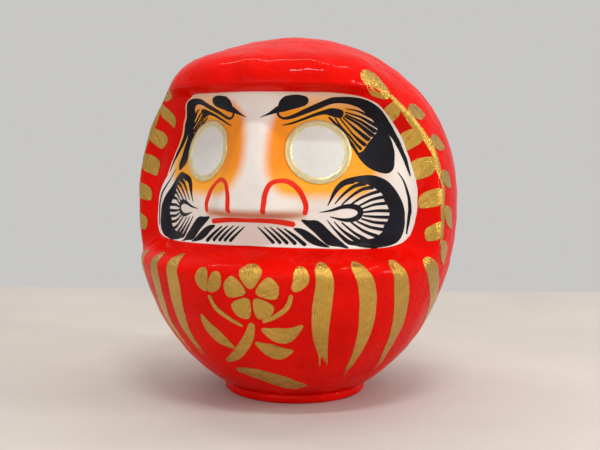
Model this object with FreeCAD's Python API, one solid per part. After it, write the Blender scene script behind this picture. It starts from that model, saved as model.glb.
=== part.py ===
"""Papier-mache daruma doll: two moulded paper half shells on a clay foot, with a painted face.

Millimetres, +Z up. The origin is on the table under the middle of the doll, which faces -Y.
Each sub-part is one closed solid and is written to parts/NODE.step.
"""

import FreeCAD, Part
import math
import os

# Driving dimensions
HEIGHT = 180.0             # table to crown
BELLY_RADIUS = 82.0        # widest radius of the body
BELLY_Z = 95.5             # height of the widest ring
FOOT_HEIGHT = 5.5          # height of the clay foot, where the paper body starts
FOOT_RADIUS = 36.2
WALL = 2.5                 # thickness of the moulded paper

# Outline of the body: an ellipse below the widest ring, a superellipse above it
LOWER_HALF_HEIGHT = 101.2
CROWN_SQUARENESS = 2.27
CROWN_FLATNESS = 1.955
CROWN_DISC_RADIUS = 2.5    # the last small ring of the crown, closed flat
FORWARD_SET = 0.012        # the whole body is a little fuller in front

# Hood: the band that bulges out over the face
HOOD_BULGE = 12.5
HOOD_Z = 164.0
HOOD_SPREAD_ABOVE = 8.2
HOOD_SPREAD_BELOW = 15.0
HOOD_FRONT_COSINE = 0.21   # the bulge fades out where the cosine of the azimuth reaches this

# Recess that holds the face
FACE_TOP_Z = 150.0         # middle of the hood's underside
FACE_TOP_BLEND = 3.0       # half the height of that step
FACE_BOTTOM_Z = 80.5       # where the face meets the chest
CHEST_LEDGE = 16.5         # height of the slope from the face out to the chest
CHEST_ROUNDNESS = 1.6      # above 1, the chest has a round shoulder
FACE_SIDE_ANGLE = 64.0     # azimuth where the side wall of the recess starts
TOP_CORNER_Z = 116.0       # above this the side walls close in, so the top corners are round
TOP_CORNER_TURN = 17.0
SIDE_WALL_ANGLE = 11.0

# Face sheet inside the recess
CHEEK_RADIUS = 62.5
SOCKET_DEPTH = 11.0        # how far the brow area lies behind the cheeks
SOCKET_ANGLE = 40.0
SOCKET_SPREAD = 29.0
SOCKET_START_Z = 99.0
SOCKET_FULL_Z = 140.0
BROW_Z = 134.0             # above this the sockets get shallower, up to the hood
BROW_FADE = 0.5
TEMPLE_RISE = 8.0          # the sheet turns outwards towards its side edges
TEMPLE_ANGLE = 18.0
TEMPLE_RUN_OUT = 4.0       # the temples still rise for this angle past the side edge
NOSE_DEPTH = 8.3
NOSE_TOP_Z = 141.0
NOSE_TIP_Z = 96.5
NOSE_UNDERSIDE = 4.5       # height of the step under the nose
NOSE_TOP_HALF_WIDTH = 8.0
NOSE_TIP_HALF_WIDTH = 27.0

# Coats of thick paint, each on top of the last
FACE_COAT = 0.35
EYE_COAT = 0.55
FACE_COAT_HALF_WIDTH_TOP = 52.5
FACE_COAT_HALF_WIDTH_BOTTOM = 65.5
FACE_COAT_TOP_Z = 147.6
FACE_COAT_BOTTOM_Z = 79.6
FACE_COAT_TOP_CORNER = 19.0
FACE_COAT_BOTTOM_CORNER = 13.0
FACE_COAT_BACK_Y = -16.0
EYE_CENTRE = (-27.1, -49.6, 122.3)
EYE_AZIMUTH = 30.0
EYE_ELEVATION = 12.0
EYE_FLAT_RADIUS = 14.0
EYE_FLAT_EDGE = 8.0        # width of the soft edge round the flat area
EYE_WHITE_RADIUS = 11.9
EYE_RING_RADIUS = 14.8

# Foot and inside pieces
FOOT_EDGE_ROUND = 1.4
FOOT_BOSS_CLEARANCE = 1.6
FOOT_BOSS_HEIGHT = 5.0
BASE_PAPER_RADIUS = 30.0
BASE_PAPER_RECESS = 0.9
BASE_PAPER_THICKNESS = 0.6
BASE_PAPER_GAP = 0.2
STRIP_HALF_WIDTH = 9.0
STRIP_THICKNESS = 0.7
STRIP_BOTTOM_Z = 14.0
STRIP_GLUE = 0.12           # glue between the strip and the body
STRIP_PROFILE_STEPS = 30

# Fineness of the surfaces
COLUMNS = 61               # columns from one side to the other of each half
RING_BANDS = [             # (height where the band starts, number of rings in it)
    (0.0, 9), (60.0, 4), (65.0, 14), (82.0, 4), (89.0, 9), (98.0, 9), (144.0, 10), (156.0, 5),
]
BANDS_END_Z = 168.0
CROWN_RINGS = 10


def blend(t):
    """Go smoothly from 0 to 1 as t goes from 0 to 1."""
    t = min(max(t, 0.0), 1.0)
    return t ** 3 * (t * (6.0 * t - 15.0) + 10.0)


def ring_radius(z, inset):
    """Radius of the plain body of revolution, taken in by inset all round."""
    belly = BELLY_RADIUS - inset
    if z < BELLY_Z:
        share = min((BELLY_Z - z) / (LOWER_HALF_HEIGHT - inset), 1.0)
        return belly * math.sqrt(1.0 - share ** 2)
    share = min((z - BELLY_Z) / (HEIGHT - inset - BELLY_Z), 1.0)
    return belly * (1.0 - share ** CROWN_SQUARENESS) ** (1.0 / CROWN_FLATNESS)


def outline_radius(azimuth, z, inset):
    """Radius of the body before the face is let in. Azimuth 0 is the front."""
    front = math.cos(azimuth)
    hood_share = blend((front - HOOD_FRONT_COSINE) / (1.0 - HOOD_FRONT_COSINE))
    above = max(z + inset - HOOD_Z, 0.0) / HOOD_SPREAD_ABOVE
    below = max(HOOD_Z - z, 0.0) / HOOD_SPREAD_BELOW
    hood = HOOD_BULGE * hood_share * math.exp(-above ** 2 - below ** 2)
    return ring_radius(z, inset) * (1.0 + FORWARD_SET * front) + hood


def nose_height(azimuth, z):
    """How far the nose stands out of the face sheet."""
    down = min(max((NOSE_TOP_Z - z) / (NOSE_TOP_Z - NOSE_TIP_Z), 0.0), 1.0)
    half_width = NOSE_TOP_HALF_WIDTH + (NOSE_TIP_HALF_WIDTH - NOSE_TOP_HALF_WIDTH) * down
    across = abs(CHEEK_RADIUS * math.sin(azimuth)) / half_width
    ridge = 0.25 * blend(4.0 * down) + 0.75 * down
    underside = blend((z - NOSE_TIP_Z + NOSE_UNDERSIDE) / NOSE_UNDERSIDE)
    return NOSE_DEPTH * ridge * underside * blend(1.25 * (1.0 - across))


def side_angle(z):
    """Azimuth of the recess's side edge at one height."""
    up = max((z - TOP_CORNER_Z) / (FACE_TOP_Z - TOP_CORNER_Z), 0.0)
    return FACE_SIDE_ANGLE - TOP_CORNER_TURN * min(up, 1.0) ** 2


def face_radius(azimuth, z, inset):
    """Radius of the face sheet: cheeks, eye sockets, temples and nose."""
    angle = abs(math.degrees(azimuth))
    socket = blend((z - SOCKET_START_Z) / (SOCKET_FULL_Z - SOCKET_START_Z))
    socket *= 1.0 - BROW_FADE * blend((z - BROW_Z) / (FACE_TOP_Z - BROW_Z))
    socket *= math.exp(-((angle - SOCKET_ANGLE) / SOCKET_SPREAD) ** 2)
    temple_end = side_angle(z) + TEMPLE_RUN_OUT
    temple = blend((angle - temple_end + TEMPLE_ANGLE) / TEMPLE_ANGLE)
    sheet = CHEEK_RADIUS - inset - SOCKET_DEPTH * socket + TEMPLE_RISE * temple
    radius = sheet + nose_height(azimuth, z)
    flat_radius, share = eye_flat(azimuth, z)
    return radius * (1.0 - share) + (flat_radius - inset) * share


def eye_look(turn):
    """Unit vector that an eye looks along, for an eye turned by that azimuth."""
    turn, lean = math.radians(turn), math.radians(EYE_ELEVATION)
    return FreeCAD.Vector(math.sin(turn) * math.cos(lean), -math.cos(turn) * math.cos(lean),
                          math.sin(lean))


def eye_flat(azimuth, z):
    """Radius of the flat area that each eye is painted on, and how far it takes over."""
    angle = min(abs(azimuth), math.pi / 2.0)
    look = eye_look(EYE_AZIMUTH)
    centre = FreeCAD.Vector(-EYE_CENTRE[0], EYE_CENTRE[1], EYE_CENTRE[2])
    radius = (centre.dot(look) - z * look.z) / (math.sin(angle) * look.x - math.cos(angle) * look.y)
    point = FreeCAD.Vector(radius * math.sin(angle), -radius * math.cos(angle), z)
    away = point.distanceToPoint(centre)
    return radius, 1.0 - blend((away - EYE_FLAT_RADIUS) / EYE_FLAT_EDGE)


def face_share(azimuth, z, inset):
    """1 inside the recess, 0 outside it, with the hood's underside, ledge and walls between."""
    angle = abs(math.degrees(azimuth)) - math.degrees(inset / CHEEK_RADIUS)
    above = max((z - inset - FACE_TOP_Z + FACE_TOP_BLEND) / (2.0 * FACE_TOP_BLEND), 0.0)
    beside = max((angle - side_angle(z)) / SIDE_WALL_ANGLE, 0.0)
    up = min(max((z + inset - FACE_BOTTOM_Z + CHEST_LEDGE) / CHEST_LEDGE, 0.0), 1.0)
    bottom = math.sin(math.pi / 2.0 * up ** CHEST_ROUNDNESS) ** 2
    return bottom * (1.0 - blend(math.hypot(above, beside)))


def body_radius(azimuth, z, inset):
    """Radius of the doll at one azimuth and height, taken in by inset."""
    share = face_share(azimuth, z, inset)
    outside = outline_radius(azimuth, z, inset)
    return outside * (1.0 - share) + face_radius(azimuth, z, inset) * share


def ring_heights(top_z):
    """Heights of the rings, closer together where the shape turns sharply."""
    heights = []
    starts = [max(start, FOOT_HEIGHT) for start, count in RING_BANDS] + [BANDS_END_Z]
    for number, (start, count) in enumerate(RING_BANDS):
        span = starts[number + 1] - starts[number]
        heights += [starts[number] + span * step / count for step in range(count)]
    for step in range(CROWN_RINGS):
        left = 1.0 - step / CROWN_RINGS
        heights.append(top_z - (top_z - BANDS_END_Z) * left ** 2)
    return heights


def ring_point(azimuth, z, inset, lift):
    """A point of the surface; lift moves it straight outwards, for a coat of paint."""
    radius = body_radius(azimuth, z, inset) + lift
    return FreeCAD.Vector(radius * math.sin(azimuth), -radius * math.cos(azimuth), z)


def half_surface(side, inset, lift=0.0):
    """Smooth surface of the front (side 0) or rear (side 1) half of the doll."""
    top_z = HEIGHT - inset
    azimuths = [math.pi * (column / (COLUMNS - 1) - 0.5 + side) for column in range(COLUMNS)]
    rows = [[ring_point(a, z, inset, lift) for a in azimuths] for z in ring_heights(top_z)]
    crown = CROWN_DISC_RADIUS + lift
    rows.append([FreeCAD.Vector(crown * math.sin(a), -crown * math.cos(a), top_z)
                 for a in azimuths])
    surface = Part.BSplineSurface()
    surface.interpolate(rows)
    return surface


def border(surface, which):
    """One border of a half surface as an edge: bottom, top, start or end column."""
    first_u, last_u, first_v, last_v = surface.bounds()
    curves = {
        "bottom": lambda: surface.uIso(first_u),
        "top": lambda: surface.uIso(last_u),
        "start": lambda: surface.vIso(first_v),
        "end": lambda: surface.vIso(last_v),
    }
    return curves[which]().toShape()


def ends(edge):
    """First and last point of an edge, in the direction of its curve."""
    return edge.valueAt(edge.FirstParameter), edge.valueAt(edge.LastParameter)


def straight(start, end):
    return Part.makeLine(start, end)


def flat_face(edges):
    """Flat face inside a closed row of edges."""
    return Part.Face(Part.Wire(Part.__sortEdges__(edges)))


def wall_between(outer, inner):
    """Closed solid between two half surfaces, split flat on the plane Y = 0."""
    outer_edges = {name: border(outer, name) for name in ("bottom", "top", "start", "end")}
    inner_edges = {name: border(inner, name) for name in ("bottom", "top", "start", "end")}
    foot_lines = []
    caps = []
    for edges in (outer_edges, inner_edges):
        edges["across"] = straight(*ends(edges["top"]))
        caps.append(flat_face([edges["top"], edges["across"]]))
    for end in (0, 1):
        foot_lines.append(straight(ends(outer_edges["bottom"])[end], ends(inner_edges["bottom"])[end]))
    split = [edges[name] for edges in (outer_edges, inner_edges) for name in ("start", "end", "across")]
    rim = [outer_edges["bottom"], inner_edges["bottom"]]
    faces = [outer.toShape(), inner.toShape()] + caps
    faces.append(flat_face(split + foot_lines))
    faces.append(flat_face(rim + foot_lines))
    shell = Part.makeShell(faces)
    shell.sewShape()
    solid = Part.makeSolid(shell)
    if solid.Volume < 0:
        solid.reverse()
    return solid


def mirrored(shape, across):
    """The same shape on the other side of the plane X = 0 or Y = 0."""
    normals = {"X": FreeCAD.Vector(1, 0, 0), "Y": FreeCAD.Vector(0, 1, 0)}
    return shape.mirror(FreeCAD.Vector(0, 0, 0), normals[across])


def face_outline_prism():
    """Block whose front view is the rounded outline of the white face coat."""
    top, low = FACE_COAT_TOP_Z, FACE_COAT_BOTTOM_Z
    wide_top, wide_low = FACE_COAT_HALF_WIDTH_TOP, FACE_COAT_HALF_WIDTH_BOTTOM
    corner_top, corner_low = FACE_COAT_TOP_CORNER, FACE_COAT_BOTTOM_CORNER
    slope = (wide_low - wide_top) / (top - low)

    def place(x, z):
        return FreeCAD.Vector(x, -HEIGHT, z)

    def corner(sign, z, step, size):
        """A soft corner: from the side edge at z, round to the level edge."""
        side_z = z + step * size
        side_x = wide_low - slope * (side_z - low)
        tip_x = wide_low - slope * (z - low)
        curve = Part.BezierCurve()
        curve.setPoles([place(sign * side_x, side_z), place(sign * tip_x, z),
                        place(sign * (side_x - size), z)])
        return curve.toShape()

    corners = [corner(1, top, -1, corner_top), corner(-1, top, -1, corner_top),
               corner(1, low, 1, corner_low), corner(-1, low, 1, corner_low)]
    top_right, top_left, low_right, low_left = corners
    lines = [
        straight(ends(top_right)[1], ends(top_left)[1]),
        straight(ends(low_right)[1], ends(low_left)[1]),
        straight(ends(top_right)[0], ends(low_right)[0]),
        straight(ends(top_left)[0], ends(low_left)[0]),
    ]
    depth = HEIGHT + FACE_COAT_BACK_Y
    return flat_face(corners + lines).extrude(FreeCAD.Vector(0, depth, 0))


def eye_cylinder(radius):
    """Round rod through the face along the axis of the doll's right eye, at -X."""
    look = eye_look(-EYE_AZIMUTH)
    back = FreeCAD.Vector(*EYE_CENTRE) - look * EYE_RING_RADIUS
    return Part.makeCylinder(radius, 2.0 * EYE_RING_RADIUS, back, look)


def foot():
    """Clay foot: a rounded disc with a boss that sits in the body's bottom opening."""
    disc = Part.makeCylinder(FOOT_RADIUS, FOOT_HEIGHT)
    lower_edge = [edge for edge in disc.Edges
                  if len(edge.Vertexes) == 1 and edge.BoundBox.ZMax < FOOT_EDGE_ROUND]
    disc = disc.makeFillet(FOOT_EDGE_ROUND, lower_edge)
    boss_radius = body_radius(math.pi, FOOT_HEIGHT, WALL) - FOOT_BOSS_CLEARANCE
    boss = Part.makeCylinder(boss_radius, FOOT_BOSS_HEIGHT, FreeCAD.Vector(0, 0, FOOT_HEIGHT))
    recess = Part.makeCylinder(BASE_PAPER_RADIUS, BASE_PAPER_RECESS)
    return disc.fuse(boss).cut(recess).removeSplitter()


def base_paper():
    """Disc of paper pasted up in the recess under the foot."""
    low = BASE_PAPER_RECESS - BASE_PAPER_THICKNESS
    radius = BASE_PAPER_RADIUS - BASE_PAPER_GAP
    return Part.makeCylinder(radius, BASE_PAPER_THICKNESS, FreeCAD.Vector(0, 0, low))


def lining_curve(inset):
    """Profile of the body's inside at one inset, from the strip's lower end up to the crown."""
    top_z = HEIGHT - inset
    points = []
    for step in range(STRIP_PROFILE_STEPS + 1):
        left = 1.0 - step / STRIP_PROFILE_STEPS
        z = top_z - (top_z - STRIP_BOTTOM_Z) * left ** 2
        points.append(FreeCAD.Vector(ring_radius(z, inset), 0, z))
    curve = Part.BSplineCurve()
    curve.interpolate(points)
    return curve.toShape()


def seam_strip():
    """Paper strip pasted inside, over the joint between the halves, in one arch."""
    outer = lining_curve(WALL + STRIP_GLUE)
    inner = lining_curve(WALL + STRIP_GLUE + STRIP_THICKNESS)
    lower_end, upper_end = (straight(a, b) for a, b in zip(ends(outer), ends(inner)))
    profile = flat_face([outer, upper_end, inner, lower_end])
    lining = profile.revolve(FreeCAD.Vector(0, 0, 0), FreeCAD.Vector(0, 0, 1), 360)
    reach = 2.0 * BELLY_RADIUS
    corner = FreeCAD.Vector(-reach / 2.0, -STRIP_HALF_WIDTH, STRIP_BOTTOM_Z)
    band = Part.makeBox(reach, 2.0 * STRIP_HALF_WIDTH, HEIGHT - STRIP_BOTTOM_Z, corner)
    return lining.common(band)


def single_solid(shape):
    """The one solid in a boolean's result, checked to be closed."""
    solid = max(shape.Solids, key=lambda item: item.Volume)
    if not solid.isValid():
        raise ValueError("a sub-part isn't a valid closed solid")
    return solid


def build():
    """Every sub-part of the doll, by node name."""
    skin = half_surface(0, 0.0)
    coated = half_surface(0, 0.0, FACE_COAT)
    raised = half_surface(0, 0.0, FACE_COAT + EYE_COAT)
    coat_layer = wall_between(coated, skin)
    eye_layer = wall_between(raised, coated)
    parts = {
        "shell_front": wall_between(skin, half_surface(0, WALL)),
        "shell_rear": wall_between(half_surface(1, 0.0), half_surface(1, WALL)),
        "seam_strip": seam_strip(),
        "face_coat": coat_layer.common(face_outline_prism()),
        "foot_weight": foot(),
        "base_paper": base_paper(),
    }
    white = eye_cylinder(EYE_WHITE_RADIUS)
    ring = eye_cylinder(EYE_RING_RADIUS).cut(white)
    for name, cutter in (("eye_white", white), ("eye_ring", ring)):
        parts[name + "_right"] = eye_layer.common(cutter)
        parts[name + "_left"] = mirrored(parts[name + "_right"], "X")
    return parts


os.makedirs("parts", exist_ok=True)
for node, shape in build().items():
    solid = single_solid(shape)
    solid.exportStep("parts/" + node + ".step")
    print(node, round(solid.Volume), "mm3")
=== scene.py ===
"""Finished look of a papier-mache daruma doll, built round its CAD frame.

The doll faces -Y and stands on the floor at Z = 0. Brush marks are drawn flat, as
(azimuth in degrees, height in mm, width in mm), and then laid on the moulded body.
"""

import bpy
import math
import numpy as np
from functools import partial
from bpy.props import FloatProperty, FloatVectorProperty, PointerProperty
from mathutils import Matrix, Vector, geometry


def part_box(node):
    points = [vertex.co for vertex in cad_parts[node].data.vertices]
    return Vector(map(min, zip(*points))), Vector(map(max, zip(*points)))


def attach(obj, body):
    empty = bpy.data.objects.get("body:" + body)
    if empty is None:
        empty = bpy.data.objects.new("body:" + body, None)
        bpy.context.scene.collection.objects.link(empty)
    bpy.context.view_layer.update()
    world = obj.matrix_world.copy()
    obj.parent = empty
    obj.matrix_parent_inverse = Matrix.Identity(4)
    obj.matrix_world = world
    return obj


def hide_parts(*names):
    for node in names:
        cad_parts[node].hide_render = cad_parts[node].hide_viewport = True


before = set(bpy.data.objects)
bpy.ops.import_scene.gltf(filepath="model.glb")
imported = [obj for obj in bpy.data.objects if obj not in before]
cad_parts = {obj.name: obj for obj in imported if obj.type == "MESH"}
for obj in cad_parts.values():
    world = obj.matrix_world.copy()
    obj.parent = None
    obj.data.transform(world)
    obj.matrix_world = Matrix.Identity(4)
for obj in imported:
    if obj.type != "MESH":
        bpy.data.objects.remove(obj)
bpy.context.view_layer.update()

bl_info = {
    "name": "Daruma Doll",
    "version": (1, 0, 0),
    "blender": (4, 5, 0),
    "location": "View3D > Sidebar > Daruma",
    "description": "Builds a painted papier-mache daruma doll on its CAD frame",
    "category": "Add Mesh",
}

MM = 0.001
BODY_LOW, BODY_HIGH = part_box("shell_rear")
FOOT_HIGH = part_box("foot_weight")[1]

# Outline of the body, mm
HEIGHT = BODY_HIGH[2] / MM
BELLY_RADIUS = BODY_HIGH[0] / MM
BODY_BASE_Z = BODY_LOW[2] / MM
BELLY_Z = 95.5
LOWER_HALF_HEIGHT = 101.2
CROWN_SQUARENESS = 2.27
CROWN_FLATNESS = 1.955
FORWARD_SET = 0.012
WALL = 2.5
HOOD_BULGE = 12.5
HOOD_Z = 164.0
HOOD_SPREAD_ABOVE = 8.2
HOOD_SPREAD_BELOW = 15.0
HOOD_FRONT_COSINE = 0.21

# Recess that holds the face, mm and degrees
FACE_TOP_Z = 150.0
FACE_TOP_BLEND = 3.0
FACE_BOTTOM_Z = 80.5
CHEST_LEDGE = 16.5
CHEST_ROUNDNESS = 1.6
FACE_SIDE_ANGLE = 64.0
TOP_CORNER_Z = 116.0
TOP_CORNER_TURN = 17.0
SIDE_WALL_ANGLE = 11.0
CHEEK_RADIUS = 62.5
SOCKET_DEPTH = 11.0
SOCKET_ANGLE = 40.0
SOCKET_SPREAD = 29.0
SOCKET_START_Z = 99.0
SOCKET_FULL_Z = 140.0
BROW_Z = 134.0
BROW_FADE = 0.5
TEMPLE_RISE = 8.0
TEMPLE_ANGLE = 18.0
TEMPLE_RUN_OUT = 4.0
NOSE_DEPTH = 8.3
NOSE_TOP_Z = 141.0
NOSE_TIP_Z = 96.5
NOSE_UNDERSIDE = 4.5
NOSE_TOP_HALF_WIDTH = 8.0
NOSE_TIP_HALF_WIDTH = 27.0

# Rows of the body's mesh: (height where the band starts, rows in the band)
ROW_BANDS = [
    (0.0, 34), (60.0, 9), (66.0, 26), (81.0, 8), (90.0, 12), (98.0, 38), (144.0, 4),
    (147.0, 14), (153.0, 14),
]
BANDS_END_Z = 168.0
CROWN_ROWS = 28
COLUMNS = 240

# Eyes, mm and degrees
EYE_CENTRE = (27.1, -49.6, 122.3)
EYE_AZIMUTH = 30.0
EYE_ELEVATION = 12.0
EYE_FLAT_RADIUS = 14.0
EYE_FLAT_EDGE = 8.0
EYE_WHITE_RADIUS = 11.9
EYE_RING_RADIUS = 14.8
EYE_STRETCH = 1.03         # the painted ring is a little wider than it is high

FACE_DRUM = 62.0           # radius at which flat brush marks on the face keep their width
BODY_DRUM = 78.0           # the same for brush marks on the body
# Beyond NEAR_PART round the face drum the right side is narrower, by a share at each height
NEAR_PART = 40.0
NARROWING = [(80.0, 0.0), (95.0, 0.10), (110.0, 0.27), (136.0, 0.31), (148.0, 0.43)]
THROW_RADIUS = 120.0       # flat drawings are wrapped on this drum and thrown inwards
THROW_LENGTH = 0.2         # how far a thrown drawing flies at most, m

# White ground of the face, going round from the top middle: (azimuth, height)
FACE_OUTLINE = [
    (0.0, 149.0), (22.0, 149.0), (34.0, 149.1), (43.5, 148.1), (49.6, 146.2), (54.0, 143.9),
    (59.0, 139.2), (62.5, 134.0), (65.0, 128.5), (66.9, 121.5), (67.8, 114.0), (68.2, 103.0),
    (67.8, 91.0), (66.0, 83.5), (60.3, 79.4), (50.0, 78.4), (25.0, 79.1), (0.0, 79.6),
]

# Airbrushed blush round the eyes, on the doll's left side and then on its right
BLUSH_AZIMUTHS = (31.5, 30.0)
BLUSH_HALF_WIDTHS = (26.0, 29.0)
BLUSH_Z = 123.5
BLUSH_HALF_HEIGHT = 27.0
BLUSH_SQUARENESS = 2.6

# Brow of one side: (azimuth, height, width)
BROW_DOT = [
    (10.5, 140.2), (10.5, 142.6), (11.5, 145.3), (14.0, 147.4), (17.0, 148.1), (19.9, 148.1),
    (22.6, 147.3), (23.8, 145.7), (23.0, 143.8), (20.0, 142.5), (15.6, 141.2), (12.6, 140.3),
]
BROW_STROKES = [
    [(3.1, 137.6, 0.2), (7.0, 139.5, 1.2), (11.6, 141.9, 3.5)],
    [(10.8, 141.5, 1.2), (10.5, 139.0, 1.1), (12.6, 137.4, 1.1), (16.3, 138.2, 1.6),
     (22.1, 140.7, 2.2), (29.6, 143.8, 2.7), (35.0, 145.8, 2.8), (40.3, 146.3, 3.0),
     (44.8, 145.7, 3.2), (49.7, 143.8, 3.6), (54.8, 139.9, 4.2), (59.2, 134.7, 3.8),
     (62.3, 130.0, 2.3), (64.5, 124.5, 1.8), (66.1, 118.5, 1.3), (66.9, 111.5, 0.3)],
    [(11.9, 134.2, 0.3), (16.2, 135.3, 0.9), (22.3, 137.5, 1.3), (27.4, 139.4, 1.6),
     (32.1, 140.7, 2.2), (35.3, 140.8, 3.6), (38.8, 140.2, 4.2), (42.3, 139.7, 3.2)],
]
BROW_MASS = [
    (53.6, 139.4), (56.6, 133.5), (55.9, 130.0), (54.3, 127.0), (52.5, 124.0), (50.0, 122.3),
    (47.1, 122.2), (48.9, 119.1), (51.6, 116.0), (55.2, 113.7), (58.8, 112.8), (61.0, 114.8),
    (62.0, 118.8), (62.4, 123.0), (61.5, 128.0), (59.6, 132.6), (57.3, 137.2),
]
BROW_HAIRS = [
    [(42.3, 142.6, 0.3), (48.2, 141.5, 0.6), (54.6, 138.2, 1.1)],
    [(42.7, 141.0, 0.5), (50.2, 138.9, 0.8), (57.2, 134.0, 1.5)],
    [(43.3, 140.0, 0.6), (50.7, 136.9, 0.9), (56.6, 131.9, 1.7)],
    [(42.9, 139.3, 0.8), (49.7, 136.0, 1.2), (55.9, 129.9, 2.0)],
    [(42.2, 138.6, 0.8), (48.5, 134.0, 1.2), (54.7, 128.0, 2.0)],
    [(40.3, 138.3, 0.8), (45.8, 132.4, 1.2), (53.4, 125.5, 2.0)],
    [(37.6, 138.2, 0.8), (41.6, 132.3, 1.3), (51.2, 123.6, 2.0)],
    [(34.3, 138.4, 1.0), (38.3, 134.4, 1.4), (42.0, 129.4, 1.8), (48.3, 121.5, 2.4)],
]

# Beard of one side
BEARD_MASS = [
    (42.6, 110.8), (51.9, 112.0), (57.5, 110.3), (61.2, 105.1), (63.8, 98.1), (64.7, 90.2),
    (63.1, 83.5), (59.2, 79.5), (51.5, 78.4), (44.4, 79.8), (45.5, 82.8), (52.7, 83.0),
    (56.7, 85.9), (57.4, 88.6), (58.8, 91.5), (59.2, 94.1), (58.7, 97.4), (57.3, 100.6),
    (56.7, 103.0), (55.1, 105.0), (51.8, 107.2), (48.1, 108.5), (44.0, 109.0),
]
BEARD_HAIRS = [
    [(31.8, 98.2, 0.3), (34.9, 104.2, 1.6), (39.3, 108.3, 2.4), (44.5, 109.8, 3.0)],
    [(34.7, 99.0, 0.4), (38.6, 103.4, 1.1), (44.0, 107.0, 1.6), (50.0, 108.3, 2.0)],
    [(37.8, 98.6, 0.6), (42.0, 102.3, 1.1), (47.5, 105.5, 1.5), (53.4, 106.5, 1.8)],
    [(41.4, 98.3, 0.8), (47.4, 102.0, 1.2), (55.9, 104.8, 1.6)],
    [(44.7, 97.5, 0.8), (50.9, 100.4, 1.2), (57.5, 102.2, 1.6)],
    [(46.5, 96.4, 0.8), (53.2, 98.5, 1.2), (58.7, 99.3, 1.6)],
    [(47.5, 95.1, 0.8), (54.2, 95.7, 1.3), (59.6, 95.7, 1.6)],
    [(47.9, 93.6, 0.8), (54.3, 92.9, 1.3), (59.6, 92.7, 1.6)],
    [(47.0, 92.3, 0.8), (53.3, 90.5, 1.3), (58.8, 89.9, 1.6)],
    [(44.8, 91.2, 0.8), (51.2, 88.4, 1.3), (57.7, 86.9, 1.6)],
    [(42.1, 90.8, 0.8), (48.2, 86.7, 1.3), (55.3, 83.8, 1.8)],
    [(37.9, 90.8, 0.6), (43.7, 85.9, 1.2), (50.5, 82.0, 2.0)],
    [(34.6, 91.2, 0.4), (39.0, 86.6, 1.2), (46.0, 81.6, 2.4)],
    [(31.7, 91.9, 0.3), (35.4, 87.2, 1.0), (41.0, 81.9, 2.0), (46.0, 80.5, 2.0)],
]
BEARD_STROKES = [
    [(28.4, 95.3, 0.2), (33.3, 96.2, 1.0), (37.8, 97.6, 1.7), (41.9, 98.0, 2.2),
     (45.4, 97.1, 2.7), (46.8, 95.0, 2.9), (45.4, 92.9, 2.6), (42.1, 91.8, 2.0),
     (37.9, 92.0, 1.3), (32.8, 93.4, 0.3)],
    [(62.5, 113.4, 0.3), (64.5, 108.8, 0.8), (66.0, 101.1, 1.1), (66.2, 92.8, 1.1),
     (65.3, 84.7, 0.6)],
]

# Moustache of one side
MOUSTACHE_SLABS = [
    [(21.0, 91.6), (24.1, 91.8), (28.4, 91.2), (34.2, 85.5), (40.9, 79.0), (36.4, 79.5),
     (32.0, 80.6), (26.6, 86.0)],
    [(17.8, 88.0), (20.8, 88.1), (24.2, 86.5), (28.6, 82.9), (32.9, 79.4), (28.6, 79.8),
     (24.2, 81.9), (21.0, 84.9)],
]
MOUSTACHE_HAIRS = [
    [(2.8, 88.4, 0.4), (6.5, 84.8, 1.1), (10.0, 81.1, 1.6)],
    [(5.5, 88.5, 0.4), (9.3, 84.9, 1.1), (12.8, 81.1, 1.6)],
    [(8.0, 88.6, 0.4), (12.0, 84.9, 1.2), (15.7, 81.0, 1.7)],
    [(10.9, 88.4, 0.5), (15.2, 84.7, 1.3), (19.0, 80.8, 1.8)],
    [(14.0, 88.0, 0.6), (18.5, 84.4, 1.5), (23.1, 80.2, 1.9)],
]

# Red lines
NOSTRIL = [
    (6.7, 94.9, 1.9), (7.0, 99.5, 2.0), (7.4, 103.6, 2.0), (9.0, 107.9, 2.0),
    (12.2, 109.3, 2.0), (15.9, 108.6, 2.2), (19.7, 105.3, 2.3), (22.0, 101.0, 2.4),
    (22.8, 97.6, 2.4), (22.2, 94.0, 2.2),
]
MOUTH = [
    (-19.8, 89.9, 2.4), (-10.0, 91.1, 2.3), (0.0, 91.4, 2.3), (10.0, 91.1, 2.4), (18.6, 89.7, 2.6),
]

# Gold folds of the robe on the doll's left side of the belly, then on its right side
ROBE_FOLDS_LEFT = [
    [(27.0, 74.0, 6.0), (28.2, 65.0, 8.0), (27.8, 53.0, 9.0), (28.3, 41.0, 8.0), (30.5, 30.5, 5.0)],
    [(38.5, 73.8, 5.5), (42.2, 64.5, 8.0), (44.3, 54.6, 9.0), (45.7, 42.0, 8.5),
     (45.7, 31.0, 6.0), (45.0, 24.0, 3.5)],
    [(53.4, 73.8, 5.5), (56.2, 65.0, 8.5), (59.0, 55.0, 9.5), (61.5, 42.6, 8.5),
     (63.0, 30.5, 6.0), (64.3, 24.0, 3.5)],
    [(67.8, 73.0, 6.0), (73.5, 67.0, 8.5), (80.0, 58.0, 9.5), (88.0, 47.0, 8.5),
     (92.0, 37.0, 6.0), (94.0, 28.0, 3.5)],
]
ROBE_FOLDS_RIGHT = [
    [(-29.5, 74.0, 6.0), (-27.0, 68.0, 8.0), (-27.8, 55.7, 9.0), (-30.0, 41.0, 7.5),
     (-28.6, 31.0, 4.0)],
    [(-41.7, 73.6, 5.5), (-39.0, 66.3, 8.0), (-41.0, 53.3, 9.0), (-43.5, 39.5, 7.5),
     (-40.5, 31.0, 4.0)],
    [(-58.0, 73.0, 5.5), (-56.0, 65.0, 8.5), (-58.5, 54.0, 9.0), (-61.5, 42.0, 8.0),
     (-62.5, 31.0, 4.0)],
    [(-72.0, 72.0, 6.0), (-76.0, 64.0, 8.5), (-82.0, 55.0, 9.0), (-89.0, 45.0, 8.0),
     (-92.0, 34.0, 4.0)],
]

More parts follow.
